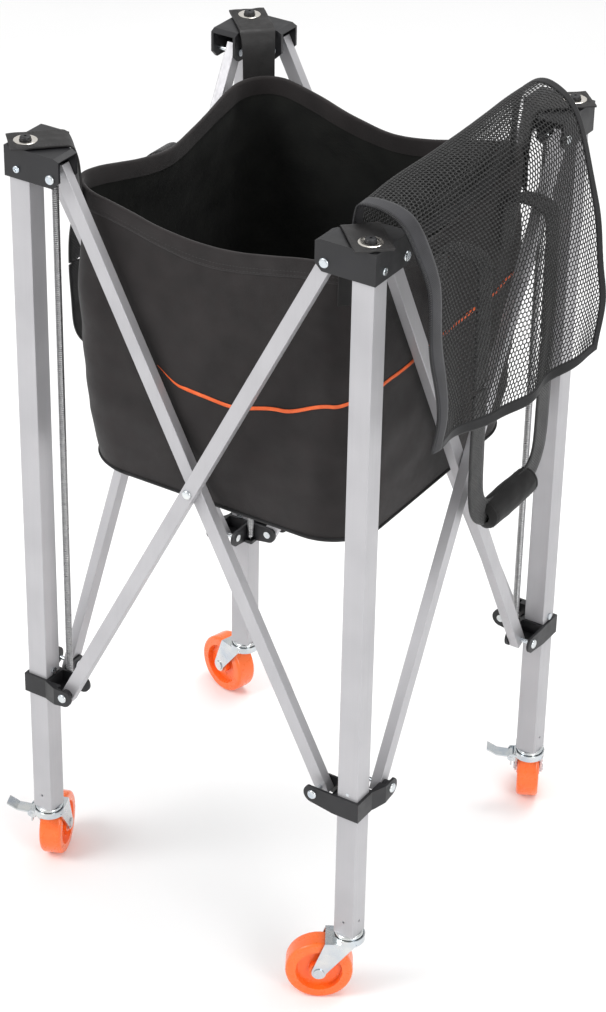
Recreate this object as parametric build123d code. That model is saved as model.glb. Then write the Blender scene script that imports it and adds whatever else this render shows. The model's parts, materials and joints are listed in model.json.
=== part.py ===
from build123d import *
import math
import os

# Folding four-legged ball trolley with a hanging bag.
# Millimetres, +Z up, floor at z = 0, vertical centre line through x = y = 0.
# Corner 0 stands at (-x, -y); corners 1, 2 and 3 follow counter-clockwise.
# Every corner and every side is corner 0 or side 0 turned by quarter turns.

CORNERS = ("fl", "fr", "rr", "rl")
SIDES = ("front", "right", "back", "left")

# Frame layout
LEG_SPACING = 412.0
HALF = LEG_SPACING / 2
LEG_W = 25.0
LEG_WALL = 1.5
LEG_BOTTOM = 88.0
BRACKET_TOP = 926.0
BRACKET_CAP = 5.0
LEG_TOP = BRACKET_TOP - BRACKET_CAP
PIVOT_OFFSET = 42.0
TOP_PIVOT_Z = 902.0
SLIDER_PIVOT_Z = 266.0
CROSS_Z = (TOP_PIVOT_Z + SLIDER_PIVOT_Z) / 2

# Scissor bars, two layers side by side inside the leg's width
BAR_H = 16.0
BAR_T = 12.0
BAR_WALL = 1.2
BAR_END = 8.0
LAYER_OFFSET = 6.5
BAR_RUN = LEG_SPACING - 2 * PIVOT_OFFSET
BAR_DROP = TOP_PIVOT_Z - SLIDER_PIVOT_Z
BAR_LENGTH = math.hypot(BAR_RUN, BAR_DROP)
BAR_ANGLE = math.degrees(math.atan2(BAR_DROP, BAR_RUN))

# Rivets and screws
RIVET_R = 2.5
RIVET_HOLE_R = 2.55
RIVET_HEAD_R = 5.5
RIVET_HEAD_H = 2.4
RIVET_SEAT = 0.05
SCREW_R = 2.1
SCREW_HOLE_R = 2.15
SCREW_HEAD_R = 4.0
SCREW_HEAD_H = 2.2
SCREW_Z = 903.0
STOP_GAP = 1.2
LEG_PIN_R = 1.6
LEG_PIN_Z = LEG_BOTTOM + 18.0

# Moulded brackets and sliders
WALL = 3.0
LEG_SLACK = 0.2
SLIDER_SLACK = 0.25
CHANNEL_HALF = LEG_W / 2 + 0.4
BODY_HALF = CHANNEL_HALF + WALL
ARM_END = PIVOT_OFFSET + 11.0
ARM_CHAMFER = 8.0
BRACKET_BOTTOM = 892.0
ARM_ROOF = 4.0
POST_R = 6.0
POST_TOP = 934.0
SLIDER_DOWN = 15.0
SLIDER_UP = 9.0
SLIDER_EAR_R = 11.0
EAR_FLARE = 7.0
EAR_KINK = 30.0
WEB_END = PIVOT_OFFSET - 13.0
WEB_RISE = 9.0
BOSS_R = 6.5
STOP_Z = SLIDER_PIVOT_Z + SLIDER_UP + STOP_GAP + SCREW_HEAD_R

# Springs at the inner corner of each leg
SPRING_AT = 20.5
SPRING_R = 4.0
SPRING_BORE_R = 2.9
SPRING_WIRE_R = 0.8
LUG_HALF = 4.8
LUG_T = 4.0
TOP_LUG_Z = 903.0
LOW_LUG_Z = SLIDER_PIVOT_Z - SLIDER_DOWN
HOOK_GAP = 5.0
HOOK_END_R = 2.2

# Casters
WHEEL_R = 37.5
WHEEL_W = 26.0
WHEEL_RECESS = 6.5
TREAD_ROUND = 4.0
DISH_R = 28.0
DISH_FLOOR_R = 24.0
HUB_PROUD = 0.8
AXLE_HEAD_R = 6.0
AXLE_HEAD_H = 1.2
HUB_R = 11.0
AXLE_R = 4.0
AXLE_BORE_R = 4.06
TRAIL = 32.0
FORK_GAP_HALF = 14.2
FORK_T = 2.5
FORK_BACK = -9.0
FORK_FRONT = 26.0
FORK_SHOULDER = (40.0, 40.0)
FORK_HEEL = (24.0, 37.0)
FORK_TOE_R = 8.0
CROWN_R = 18.0
CROWN_Z = 76.5
CROWN_TOP = 79.0
CUP_RIM_TOP = 84.0
CUP_RIM_T = 1.4
RACE_R = 15.8
KINGPIN_R = 4.5
KINGPIN_BORE_R = 4.56
LOWER_RACE_R = 13.0
LOWER_RACE_Z = 73.4
PIN_HEAD_R = 7.5
PIN_HEAD_H = 2.5
INSERT_HALF = 10.9
INSERT_TOP = LEG_BOTTOM + 32.0
TRAIL_ANGLES = (112.0, 211.0, 117.0, 163.0)
BRAKED = (0, 2)

# Brake lever on the side of a fork
LEVER_T = 1.8
LEVER_HALF_W = 8.0
LEVER_X = 8.0
LEVER_TOE = 12.0
LEVER_PIVOT_OUT = 21.5
LEVER_PIVOT_Z = 70.0
LEVER_REACH = 30.0
LEVER_PIN_R = 1.5
LEVER_BORE_R = 1.55
LEVER_BARREL_R = 3.2
EAR_R = 4.5
EAR_T = 2.0

# Bag, hung inside the frame
BAG_HALF = 184.0
BAG_CORNER_R = 60.0
BAG_WALL = 2.5
BAG_FLOOR = 3.0
BAG_BOTTOM = 545.0
BAG_RIM = 872.0
BAG_SAG = 16.0
BAG_SAG_REACH = 140.0
TAB_W = 40.0
TAB_T = 2.6
TAB_Z = BRACKET_TOP + 0.9
TAB_OUTER = 18.0
TAB_FLAT = 43.5
TAB_BEND_Z = 902.0
TAB_LOW = 832.0
GROMMET_HOLE_R = 6.6
GROMMET_BARREL_R = 7.4
TAB_HOLE_R = 7.45
GROMMET_R = 12.5
GROMMET_FLANGE = 0.8

# Handles, hung outside the scissor bars
STRAP_W = 30.0
STRAP_T = 2.4
HANDLE_X = 241.0
HANDLE_NEAR = -50.0
HANDLE_FAR = 124.0
HANDLE_LOW = 520.0
HANDLE_ANCHOR_LOW = 790.0
HANDLE_ARCH = 850.0
LEFT_X = 232.0
LEFT_NEAR = -42.0
LEFT_FAR = 92.0
LEFT_LOW = 612.0
LEFT_ARCH = 836.0
GRIP_R = 17.0
GRIP_HALF = 50.0

# Net lid, folded open over the right-hand side
LID_T = 2.5
LID_STATIONS = (-148.0, -60.0, 40.0, 148.0)
LID_NEAR_END = -184.0
LID_FLARE_FRONT = 8.0
LID_FLARE_BACK = 38.0
LID_RISE_BACK = 16.0
LID_DROP_X = 246.0
LID_LOW = 700.0
LID_FOLD_TOP = 948.0
LID_FOLD_POINT = 4


def box(x0, x1, y0, y1, z0, z1):
    """Box between two opposite corners."""
    middle = ((x0 + x1) / 2, (y0 + y1) / 2, (z0 + z1) / 2)
    return Pos(*middle) * Box(x1 - x0, y1 - y0, z1 - z0)


def rod_x(radius, x0, x1, y, z):
    """Cylinder along X between two stations."""
    turned = Rot(0, 90, 0) * Cylinder(radius, x1 - x0)
    return Pos((x0 + x1) / 2, y, z) * turned


def rod_y(radius, y0, y1, x, z):
    """Cylinder along Y between two stations."""
    turned = Rot(90, 0, 0) * Cylinder(radius, y1 - y0)
    return Pos(x, (y0 + y1) / 2, z) * turned


def rod_z(radius, z0, z1, x=0.0, y=0.0):
    """Cylinder along Z between two heights."""
    return Pos(x, y, (z0 + z1) / 2) * Cylinder(radius, z1 - z0)


def slab_xz(points, y0, y1):
    """Polygon given in x and z, extruded along Y."""
    wire = Polyline(*[(x, y0, z) for x, z in points], close=True)
    return extrude(make_face(wire), amount=y1 - y0, dir=(0, 1, 0))


def swap_xy(shape):
    """Mirror about the vertical plane x = y."""
    return mirror(shape, about=Plane((0, 0, 0), z_dir=(1, -1, 0)))


def at_corner(shape, index):
    """Place a shape drawn about a leg's axis at one of the four corners."""
    return Rot(0, 0, 90 * index) * Pos(-HALF, -HALF, 0) * shape


def at_side(shape, index):
    """Turn a shape drawn on the front side to one of the four sides."""
    return Rot(0, 0, 90 * index) * shape


def rivet_y(x, z, y0, y1):
    """Rivet along Y: a domed head before y0 and a flat head after y1."""
    low = y0 - RIVET_SEAT
    high = y1 + RIVET_SEAT
    shank = rod_y(RIVET_R, low, high, x, z)
    dome = rod_y(RIVET_HEAD_R, low - RIVET_HEAD_H, low, x, z)
    rim = dome.edges().filter_by(GeomType.CIRCLE).sort_by(Axis.Y)[0]
    dome = fillet(rim, RIVET_HEAD_H - 0.3)
    flat = rod_y(RIVET_HEAD_R - 1, high, high + RIVET_HEAD_H / 2, x, z)
    return shank + dome + flat


def screw_head_y(x, z, y_face, inward):
    """Pan-head screw entering a face that looks along -Y."""
    head = rod_y(SCREW_HEAD_R, y_face - SCREW_HEAD_H, y_face, x, z)
    rim = head.edges().filter_by(GeomType.CIRCLE).sort_by(Axis.Y)[0]
    head = fillet(rim, SCREW_HEAD_H / 2)
    shank = rod_y(SCREW_R, y_face, y_face + inward, x, z)
    slot = box(x - 0.5, x + 0.5, y_face - SCREW_HEAD_H, y_face - 1.2, z - 2.4, z + 2.4)
    cross = box(x - 2.4, x + 2.4, y_face - SCREW_HEAD_H, y_face - 1.2, z - 0.5, z + 0.5)
    return head + shank - slot - cross


def leg_tube():
    """Square tube, drilled for its screws and pin."""
    half = LEG_W / 2
    outer = box(-half, half, -half, half, LEG_BOTTOM, LEG_TOP)
    outer = fillet(outer.edges().filter_by(Axis.Z), 1.2)
    core = half - LEG_WALL
    tube = outer - box(-core, core, -core, core, LEG_BOTTOM - 1, LEG_TOP + 1)
    tube -= rod_y(SCREW_HOLE_R, -half - 1, 0, 0, SCREW_Z)
    tube -= rod_x(SCREW_HOLE_R, -half - 1, half + 1, 0, STOP_Z)
    tube -= rod_y(LEG_PIN_R, -half - 1, 0, 0, LEG_PIN_Z)
    return tube - rod_x(LEG_PIN_R, -half - 1, 0, 0, LEG_PIN_Z)


def arm_profile():
    """Side view of a bracket arm, its free lower corner cut away."""
    return [
        (-BODY_HALF, BRACKET_BOTTOM),
        (ARM_END - ARM_CHAMFER, BRACKET_BOTTOM),
        (ARM_END, BRACKET_BOTTOM + ARM_CHAMFER),
        (ARM_END, BRACKET_TOP - 3),
        (ARM_END - 6, BRACKET_TOP),
        (-BODY_HALF, BRACKET_TOP),
    ]


def lug(z):
    """Drilled lug that a spring's end passes through."""
    low = CHANNEL_HALF + 0.5
    high = SPRING_AT + LUG_HALF
    block = box(low, high, low, high, z, z + LUG_T)
    block = fillet(block.edges().filter_by(Axis.Z).sort_by(Axis.X)[-1], 2)
    return block - rod_z(SPRING_WIRE_R + 0.5, z - 1, z + LUG_T + 1, SPRING_AT, SPRING_AT)


def bracket():
    """Top bracket: a cap over the leg, two channel arms and the bag's post."""
    arm = slab_xz(arm_profile(), -BODY_HALF, BODY_HALF)
    body = arm + swap_xy(arm)
    hollow = box(BODY_HALF, ARM_END + 1, -CHANNEL_HALF, CHANNEL_HALF,
                 BRACKET_BOTTOM - 1, BRACKET_TOP - ARM_ROOF)
    body -= hollow
    body -= swap_xy(hollow)
    body += lug(TOP_LUG_Z)
    bore = LEG_W / 2 + LEG_SLACK
    body -= box(-bore, bore, -bore, bore, BRACKET_BOTTOM - 1, LEG_TOP)
    pivot = rod_y(RIVET_HOLE_R, -BODY_HALF - 1, BODY_HALF + 1, PIVOT_OFFSET, TOP_PIVOT_Z)
    body -= pivot
    body -= swap_xy(pivot)
    body -= rod_y(SCREW_HOLE_R, -BODY_HALF - 1, 0, 0, SCREW_Z)
    post = rod_z(POST_R, BRACKET_TOP, POST_TOP)
    post = fillet(post.edges().filter_by(GeomType.CIRCLE).sort_by(Axis.Z)[-1], 2)
    post -= rod_z(1.5, POST_TOP - 1, POST_TOP + 1)
    return body + post


def leg_fasteners(through_stop):
    """Bracket screw, stop screw and the two rivets of a bracket."""
    pivot = rivet_y(PIVOT_OFFSET, TOP_PIVOT_Z, -BODY_HALF, BODY_HALF)
    screw = screw_head_y(0, SCREW_Z, -BODY_HALF, 9)
    half = LEG_W / 2
    stop = rod_x(SCREW_R, -half, half, 0, STOP_Z)
    stop += rod_x(SCREW_HEAD_R, half, half + SCREW_HEAD_H, 0, STOP_Z)
    if through_stop:
        stop += rod_x(SCREW_HEAD_R, -half - SCREW_HEAD_H, -half, 0, STOP_Z)
    return Compound(children=[pivot, swap_xy(pivot), screw, stop])


def spring():
    """Closed coil of a tension spring with a straight hooked end each way."""
    low = LOW_LUG_Z + LUG_T + HOOK_GAP
    high = TOP_LUG_Z - HOOK_GAP
    x = SPRING_AT
    coil = rod_z(SPRING_R, low, high, x, x) - rod_z(SPRING_BORE_R, low - 1, high + 1, x, x)
    ends = rod_z(SPRING_R - 0.6, low, low + 2, x, x) + rod_z(SPRING_R - 0.6, high - 2, high, x, x)
    wire = rod_z(SPRING_WIRE_R, LOW_LUG_Z - 1, low + 1, x, x)
    wire += rod_z(SPRING_WIRE_R, high - 1, TOP_LUG_Z + LUG_T + 1, x, x)
    wire += rod_z(HOOK_END_R, LOW_LUG_Z - 2, LOW_LUG_Z - 0.4, x, x)
    wire += rod_z(HOOK_END_R, TOP_LUG_Z + LUG_T + 0.4, TOP_LUG_Z + LUG_T + 2, x, x)
    return coil + ends + wire


def slider_arm(flare):
    """Arm along +X with a rounded end; its outer wall stands out by the flare."""
    low = SLIDER_PIVOT_Z - SLIDER_DOWN
    high = SLIDER_PIVOT_Z + SLIDER_UP
    outer = -BODY_HALF - flare
    plan = [
        (-BODY_HALF, BODY_HALF),
        (ARM_END, BODY_HALF),
        (ARM_END, outer),
        (EAR_KINK, outer),
        (BODY_HALF - WALL, -BODY_HALF),
        (-BODY_HALF, -BODY_HALF),
    ]
    wire = Polyline(*[(x, y, low) for x, y in plan], close=True)
    arm = extrude(make_face(wire), amount=high - low, dir=(0, 0, 1))
    side = slab_xz(ear_profile(), outer - 1, BODY_HALF + 1)
    side += rod_y(SLIDER_EAR_R, outer - 1, BODY_HALF + 1, PIVOT_OFFSET, SLIDER_PIVOT_Z)
    return arm & side


def ear_profile():
    """Side view of a slider arm up to the start of its rounded end."""
    low = SLIDER_PIVOT_Z - SLIDER_DOWN
    high = SLIDER_PIVOT_Z + SLIDER_UP
    return [
        (-BODY_HALF, low),
        (BODY_HALF, low),
        (PIVOT_OFFSET, SLIDER_PIVOT_Z - SLIDER_EAR_R),
        (PIVOT_OFFSET, high),
        (-BODY_HALF, high),
    ]


def slider_channel(flare):
    """Room for a bar's lower end, above a web that joins the two walls."""
    low = SLIDER_PIVOT_Z - SLIDER_DOWN
    high = SLIDER_PIVOT_Z + SLIDER_EAR_R
    deep = box(WEB_END, ARM_END + 1, -CHANNEL_HALF, CHANNEL_HALF, low - 1, high)
    deep += box(EAR_KINK + WALL, ARM_END + 1, -CHANNEL_HALF - flare, 0, low - 1, high)
    return deep + box(BODY_HALF, WEB_END, -CHANNEL_HALF, CHANNEL_HALF, low + WEB_RISE, high)


def slider():
    """Moulded slider with two channelled arms, the first one flared outward."""
    body = slider_arm(EAR_FLARE) + swap_xy(slider_arm(0))
    body -= slider_channel(EAR_FLARE)
    body -= swap_xy(slider_channel(0))
    body += lug(LOW_LUG_Z)
    wall = -CHANNEL_HALF - EAR_FLARE - 1
    body += rod_y(BOSS_R, wall, -CHANNEL_HALF, PIVOT_OFFSET, SLIDER_PIVOT_Z)
    bore = LEG_W / 2 + SLIDER_SLACK
    low = SLIDER_PIVOT_Z - SLIDER_DOWN
    body -= box(-bore, bore, -bore, bore, low - 1, SLIDER_PIVOT_Z + SLIDER_EAR_R)
    reach = BODY_HALF + EAR_FLARE + 1
    pivot = rod_y(RIVET_HOLE_R, -reach, reach, PIVOT_OFFSET, SLIDER_PIVOT_Z)
    body -= pivot
    return body - swap_xy(pivot)


def slider_rivets():
    """The two rivets through a slider's ears."""
    flared = rivet_y(PIVOT_OFFSET, SLIDER_PIVOT_Z, -BODY_HALF - EAR_FLARE, BODY_HALF)
    plain = rivet_y(PIVOT_OFFSET, SLIDER_PIVOT_Z, -BODY_HALF, BODY_HALF)
    return Compound(children=[flared, swap_xy(plain)])


def scissor_bar(outer_layer):
    """Rectangular tube of the front side, pivot hole at each end and the middle."""
    tube = Box(BAR_LENGTH + 2 * BAR_END, BAR_T, BAR_H)
    tube = fillet(tube.edges().filter_by(Axis.X), 0.8)
    tube -= Box(BAR_LENGTH + 2 * BAR_END + 2, BAR_T - 2 * BAR_WALL, BAR_H - 2 * BAR_WALL)
    for x in (-BAR_LENGTH / 2, 0, BAR_LENGTH / 2):
        tube -= rod_y(RIVET_HOLE_R, -BAR_T, BAR_T, x, 0)
    lean = -BAR_ANGLE if outer_layer else BAR_ANGLE
    layer = -LAYER_OFFSET if outer_layer else LAYER_OFFSET
    return Pos(0, -HALF + layer, CROSS_Z) * Rot(0, lean, 0) * tube


def crossing_rivet():
    """Rivet that joins the two bars of the front side where they cross."""
    reach = LAYER_OFFSET + BAR_T / 2
    return rivet_y(0, CROSS_Z, -HALF - reach, -HALF + reach)


def caster_stem():
    """Stem pressed into the leg, upper race and the swivel's pin."""
    insert = box(-INSERT_HALF, INSERT_HALF, -INSERT_HALF, INSERT_HALF, LEG_BOTTOM, INSERT_TOP)
    insert = chamfer(insert.edges().group_by(Axis.Z)[-1], 1.5)
    race = rod_z(RACE_R, CROWN_TOP + 0.1, LEG_BOTTOM)
    race = fillet(race.edges().filter_by(GeomType.CIRCLE).sort_by(Axis.Z)[-1], 2.5)
    pin = rod_z(KINGPIN_R, LOWER_RACE_Z - 0.1, CROWN_TOP + 1)
    head_top = LOWER_RACE_Z - 0.1
    head = rod_z(PIN_HEAD_R, head_top - PIN_HEAD_H, head_top)
    return insert + race + pin + head


def fork_cheek():
    """One tapered side of the fork, drawn with the wheel trailing along +X."""
    points = [(FORK_BACK, CROWN_TOP), (FORK_FRONT, CROWN_TOP), FORK_SHOULDER,
              (TRAIL, WHEEL_R), FORK_HEEL]
    cheek = slab_xz(points, FORK_GAP_HALF, FORK_GAP_HALF + FORK_T)
    toe = rod_y(FORK_TOE_R, FORK_GAP_HALF, FORK_GAP_HALF + FORK_T, TRAIL, WHEEL_R)
    return cheek + toe


def fork():
    """Pressed fork: crown plate, raised cup, lower race and two cheeks."""
    width = FORK_GAP_HALF + FORK_T
    crown = box(FORK_BACK, FORK_FRONT, -width, width, CROWN_Z, CROWN_TOP)
    crown += rod_z(CROWN_R, CROWN_Z, CROWN_TOP)
    cup = rod_z(CROWN_R, CROWN_TOP, CUP_RIM_TOP)
    cup -= rod_z(CROWN_R - CUP_RIM_T, CROWN_TOP - 1, CUP_RIM_TOP + 1)
    lower = rod_z(LOWER_RACE_R, LOWER_RACE_Z, CROWN_Z)
    cheek = fork_cheek()
    body = crown + cup + lower + cheek + mirror(cheek, about=Plane.XZ)
    body -= rod_z(KINGPIN_BORE_R, LOWER_RACE_Z - 1, CROWN_TOP + 1)
    return body - rod_y(AXLE_BORE_R, -width - 1, width + 1, TRAIL, WHEEL_R)


def brake_ear():
    """One ear of the brake, standing out from the fork's side."""
    root = FORK_GAP_HALF + FORK_T - 0.5
    low = LEVER_PIVOT_Z - EAR_R
    high = LEVER_PIVOT_Z + EAR_R
    ear = box(0, EAR_T, root, LEVER_PIVOT_OUT, low, high)
    return ear + rod_x(EAR_R, 0, EAR_T, LEVER_PIVOT_OUT, LEVER_PIVOT_Z)


def brake_ears():
    """Two ears on the fork's side that carry the brake lever's pin."""
    offset = LEVER_HALF_W + 0.3
    pair = Pos(LEVER_X + offset, 0, 0) * brake_ear() + Pos(LEVER_X - offset - EAR_T, 0, 0) * brake_ear()
    start = LEVER_X - offset - EAR_T - 1
    end = LEVER_X + offset + EAR_T + 1
    return pair - rod_x(LEVER_BORE_R, start, end, LEVER_PIVOT_OUT, LEVER_PIVOT_Z)


def brake_lever():
    """Pressed pedal on a cross pin, with a short toe that faces the wheel."""
    y = LEVER_PIVOT_OUT
    z = LEVER_PIVOT_Z
    half = LEVER_HALF_W
    x0 = LEVER_X - half
    x1 = LEVER_X + half
    barrel = rod_x(LEVER_BARREL_R, x0, x1, y, z)
    pin = rod_x(LEVER_PIN_R, x0 - EAR_T - 1, x1 + EAR_T + 1, y, z)
    lower = [(0, -0.9), (LEVER_REACH * 0.6, 0.6), (LEVER_REACH, 7.5)]
    upper = [(reach, rise + LEVER_T) for reach, rise in reversed(lower)]
    outline = [(x0, y + reach, z + rise) for reach, rise in lower + upper]
    pedal = extrude(make_face(Polyline(*outline, close=True)), amount=2 * half, dir=(1, 0, 0))
    toe = box(x0, x1, y - LEVER_T / 2, y + LEVER_T / 2, z - LEVER_TOE, z)
    return barrel + pin + pedal + toe


def axle():
    """Riveted wheel axle with a low head outside each cheek."""
    reach = FORK_GAP_HALF + FORK_T + RIVET_SEAT
    shank = rod_y(AXLE_R, -reach, reach, TRAIL, WHEEL_R)
    head = rod_y(AXLE_HEAD_R, reach, reach + AXLE_HEAD_H, TRAIL, WHEEL_R)
    return shank + head + mirror(head, about=Plane.XZ)


def wheel():
    """One-piece wheel with a rounded tread, dished faces and a hub."""
    half = WHEEL_W / 2
    tread = rod_y(WHEEL_R, -half, half, 0, 0)
    tread = fillet(tread.edges().filter_by(GeomType.CIRCLE), TREAD_ROUND)
    dish = Pos(0, half, 0) * Rot(90, 0, 0) * Cone(DISH_R, DISH_FLOOR_R, 2 * WHEEL_RECESS)
    body = tread - dish - mirror(dish, about=Plane.XZ)
    body += rod_y(HUB_R, -half - HUB_PROUD, half + HUB_PROUD, 0, 0)
    body -= rod_y(AXLE_BORE_R, -half - 2, half + 2, 0, 0)
    return Pos(TRAIL, 0, WHEEL_R) * body


def trailing(shape, index):
    """Turn a caster piece to the direction that its wheel trails."""
    spot = Rot(0, 0, 90 * index) * Pos(-HALF, -HALF, 0)
    return spot * Rot(0, 0, TRAIL_ANGLES[index] - 90 * index) * shape


def bag_block(inset, z0, z1):
    """Square block with rounded corners, inset from the bag's outside."""
    half = BAG_HALF - inset
    block = box(-half, half, -half, half, z0, z1)
    return fillet(block.edges().filter_by(Axis.Z), BAG_CORNER_R - inset)


def bag_body():
    """Open bag whose rim sags between its four corners."""
    body = bag_block(0, BAG_BOTTOM, BAG_RIM)
    body = fillet(body.faces().sort_by(Axis.Z)[0].edges(), 8)
    body -= bag_block(BAG_WALL, BAG_BOTTOM + BAG_FLOOR, BAG_RIM + 1)
    radius = (BAG_SAG_REACH ** 2 + BAG_SAG ** 2) / (2 * BAG_SAG)
    z = BAG_RIM - BAG_SAG + radius
    body -= rod_y(radius, -BAG_HALF - 9, BAG_HALF + 9, 0, z)
    return body - rod_x(radius, -BAG_HALF - 9, BAG_HALF + 9, 0, z)


def tab():
    """Corner strap, drawn with the post at the origin and the bag along +X."""
    wall = (math.sqrt(2) * (HALF - BAG_HALF + BAG_CORNER_R)) - BAG_CORNER_R
    face = wall - 0.4
    z = TAB_Z
    t = TAB_T
    points = [
        (-TAB_OUTER, z),
        (TAB_FLAT, z),
        (face - t, TAB_BEND_Z),
        (face - t, TAB_LOW),
        (face, TAB_LOW),
        (face, TAB_BEND_Z + 1),
        (TAB_FLAT + 1.5, z + t),
        (-TAB_OUTER, z + t),
    ]
    strap = slab_xz(points, -TAB_W / 2, TAB_W / 2)
    return strap - rod_z(TAB_HOLE_R, z - 1, z + t + 1)


def grommet():
    """Eyelet: a barrel with a flange above and below the tab."""
    z = TAB_Z
    low = rod_z(GROMMET_R, z - GROMMET_FLANGE, z - 0.02)
    top = z + TAB_T
    high = rod_z(GROMMET_R, top + 0.02, top + GROMMET_FLANGE)
    high = fillet(high.edges().filter_by(GeomType.CIRCLE).sort_by(Axis.Z)[-1], 0.5)
    barrel = rod_z(GROMMET_BARREL_R, z - 0.5, top + 0.5)
    return low + high + barrel - rod_z(GROMMET_HOLE_R, z - 2, top + 2)


def toward_bag(shape, index):
    """Place a corner piece whose +X looks from the post to the centre line."""
    return at_corner(Rot(0, 0, 45) * shape, index)


def right_path():
    """Middle line of a right-hand strand: sewn patch, arch over the bars, drop."""
    sewn = BAG_HALF + 0.3 + STRAP_T / 2
    return [
        (sewn, HANDLE_ANCHOR_LOW),
        (sewn, HANDLE_ARCH - 10),
        (sewn + 9, HANDLE_ARCH),
        (HANDLE_X - 10, HANDLE_ARCH),
        (HANDLE_X, HANDLE_ARCH - 11),
        (HANDLE_X, HANDLE_LOW + STRAP_W),
    ]


def left_path():
    """Middle line of a left-hand strand, falling out between the bars."""
    sewn = BAG_HALF + 0.3 + STRAP_T / 2
    return [
        (sewn, HANDLE_ANCHOR_LOW),
        (sewn, LEFT_ARCH - 8),
        (sewn + 7, LEFT_ARCH),
        (LEFT_X - 26, LEFT_ARCH - 10),
        (LEFT_X - 6, LEFT_ARCH - 36),
        (LEFT_X, LEFT_ARCH - 60),
        (LEFT_X, LEFT_LOW + STRAP_W),
    ]


def strand(path, y0, y1):
    """Flat strap that follows a middle line given in x and z."""
    outline = offset_path(path, STRAP_T / 2) + list(reversed(offset_path(path, -STRAP_T / 2)))
    return slab_xz(outline, y0, y1)


def handle_loop(path, low, y0, y1):
    """Two strands and the rounded run that joins them at the bottom."""
    x = path[-1][0]
    run = box(x - STRAP_T / 2, x + STRAP_T / 2, y0, y1, low, low + STRAP_W)
    corners = run.edges().filter_by(Axis.X).group_by(Axis.Z)[0]
    run = fillet(corners, STRAP_W - 4)
    return strand(path, y0, y0 + STRAP_W) + run + strand(path, y1 - STRAP_W, y1)


def both_handles():
    """The right-hand loop, and the shorter one turned to the left side."""
    right = handle_loop(right_path(), HANDLE_LOW, HANDLE_NEAR, HANDLE_FAR)
    left = handle_loop(left_path(), LEFT_LOW, LEFT_NEAR, LEFT_FAR)
    return Compound(children=[right, Rot(0, 0, 180) * left])


def handle_grip():
    """Padded sleeve wrapped round the bottom of the right-hand handle."""
    middle = (HANDLE_NEAR + HANDLE_FAR) / 2
    z = HANDLE_LOW + STRAP_W / 2
    sleeve = rod_y(GRIP_R, middle - GRIP_HALF, middle + GRIP_HALF, HANDLE_X, z)
    sleeve = fillet(sleeve.edges().filter_by(GeomType.CIRCLE), 3)
    x0 = HANDLE_X - STRAP_T / 2 - 0.1
    x1 = HANDLE_X + STRAP_T / 2 + 0.1
    slot = box(x0, x1, HANDLE_NEAR - 5, HANDLE_FAR + 5, HANDLE_LOW - 0.3, HANDLE_LOW + STRAP_W + 0.3)
    return sleeve - slot


def offset_path(path, distance):
    """Shift each point of an open path to its left by a distance."""
    shifted = []
    for i, (x, z) in enumerate(path):
        before = path[max(i - 1, 0)]
        after = path[min(i + 1, len(path) - 1)]
        run = after[0] - before[0]
        rise = after[1] - before[1]
        length = math.hypot(run, rise)
        shifted.append((x - rise * distance / length, z + run * distance / length))
    return shifted


def lid_path(y):
    """Line of the net lid at one station, from the rim over and down."""
    share = (y - LID_STATIONS[0]) / (LID_STATIONS[-1] - LID_STATIONS[0])
    share = max(share, 0.0)
    flare = LID_FLARE_FRONT + (LID_FLARE_BACK - LID_FLARE_FRONT) * share
    top = LID_FOLD_TOP + LID_RISE_BACK * share
    return [
        (BAG_HALF - 11, BAG_RIM - 4),
        (BAG_HALF - 16, top - 38),
        (BAG_HALF - 15, top - 14),
        (BAG_HALF - 2, top),
        (HALF, top + 2),
        (HALF + 24, top - 3),
        (LID_DROP_X - 5, top - 30),
        (LID_DROP_X + 6, LID_LOW + 170),
        (LID_DROP_X + 8 + 0.5 * flare, LID_LOW + 90),
        (LID_DROP_X + 9 + flare, LID_LOW),
    ]


def lid_section(y, path):
    """Face of the lid's cut at one station."""
    outline = path + list(reversed(offset_path(path, LID_T)))
    return make_face(Polyline(*[(x, y, z) for x, z in outline], close=True))


def bag_lid():
    """Soft net lid: a thin draped sheet, its near end lapped over a bracket."""
    sheet = loft([lid_section(y, lid_path(y)) for y in LID_STATIONS], ruled=True)
    near = LID_STATIONS[0]
    lap = lid_path(near)[LID_FOLD_POINT:]
    return sheet + loft([lid_section(LID_NEAR_END, lap), lid_section(near, lap)], ruled=True)


def write(name, shape):
    """Save one named piece."""
    export_step(shape, os.path.join("parts", name + ".step"))


def write_corner(index):
    """Save every piece that stands at one corner."""
    tag = CORNERS[index]
    write("leg_" + tag, at_corner(leg_tube(), index))
    write("bracket_" + tag, at_corner(bracket(), index))
    write("leg_fasteners_" + tag, at_corner(leg_fasteners(index % 2 == 0), index))
    write("spring_" + tag, at_corner(spring(), index))
    write("slider_" + tag, at_corner(slider(), index))
    write("slider_rivets_" + tag, at_corner(slider_rivets(), index))
    write("caster_stem_" + tag, at_corner(caster_stem(), index))
    braked = index in BRAKED
    body = fork() + brake_ears() if braked else fork()
    write("caster_fork_" + tag, trailing(body, index))
    write("caster_axle_" + tag, trailing(axle(), index))
    write("caster_wheel_" + tag, trailing(wheel(), index))
    if braked:
        write("brake_lever_" + tag, trailing(brake_lever(), index))


def write_side(index):
    """Save the two bars of one side and the rivet where they cross."""
    tag = SIDES[index]
    write("bar_outer_" + tag, at_side(scissor_bar(True), index))
    write("bar_inner_" + tag, at_side(scissor_bar(False), index))
    write("crossing_rivet_" + tag, at_side(crossing_rivet(), index))


def write_bag():
    """Save the bag and everything sewn to it."""
    write("bag_body", bag_body())
    write("bag_tabs", Compound(children=[toward_bag(tab(), i) for i in range(4)]))
    write("bag_grommets", Compound(children=[toward_bag(grommet(), i) for i in range(4)]))
    write("bag_handles", both_handles())
    write("handle_grip", handle_grip())
    write("bag_lid", bag_lid())


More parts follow.
